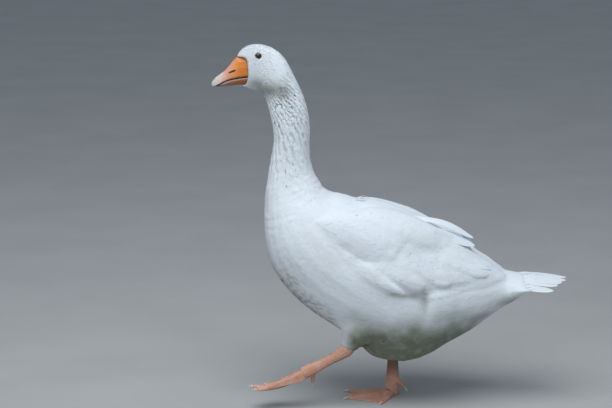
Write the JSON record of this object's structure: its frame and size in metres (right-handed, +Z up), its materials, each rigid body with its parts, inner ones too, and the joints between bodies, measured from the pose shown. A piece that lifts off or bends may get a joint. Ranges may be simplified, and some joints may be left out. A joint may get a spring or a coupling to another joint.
{
  "type": "domestic goose",
  "caption": "Still, life-size model of a white domestic goose walking, one foot planted and the other swung forward, neck upright, wings folded, with an orange bill and legs.",
  "frame": {"origin": "on the floor under the middle of the goose's bounding box", "axes": "+Z up, -X the way the goose faces, -Y its left side"},
  "size_m": [0.7448, 0.247, 0.7658],
  "materials": {
    "plumage": "soft white feathers, slightly cool, a little grey-green where soiled",
    "bill_horn": "orange horn and skin, paler at the nail",
    "leg_skin": "orange-pink scaly skin",
    "claw_horn": "pale horn",
    "eye": "wet, dark blue-grey"
  },
  "bodies": {
    "root": {"head": "plumage", "neck_upper": "plumage", "neck_lower": "plumage", "trunk": "plumage", "tail": "plumage", "wing_left": "plumage", "wing_right": "plumage", "thigh_left": "plumage", "thigh_right": "plumage", "bill_upper": "bill_horn", "bill_lower": "bill_horn", "eye_left": "eye", "eye_right": "eye", "shank_left": "leg_skin", "shank_right": "leg_skin", "foot_left": "leg_skin", "foot_right": "leg_skin", "hind_toe_left": "leg_skin", "hind_toe_right": "leg_skin", "claw_left_outer": "claw_horn", "claw_left_middle": "claw_horn", "claw_left_inner": "claw_horn", "claw_left_hind": "claw_horn", "claw_right_outer": "claw_horn", "claw_right_middle": "claw_horn", "claw_right_inner": "claw_horn", "claw_right_hind": "claw_horn"}
  },
  "joints": []
}
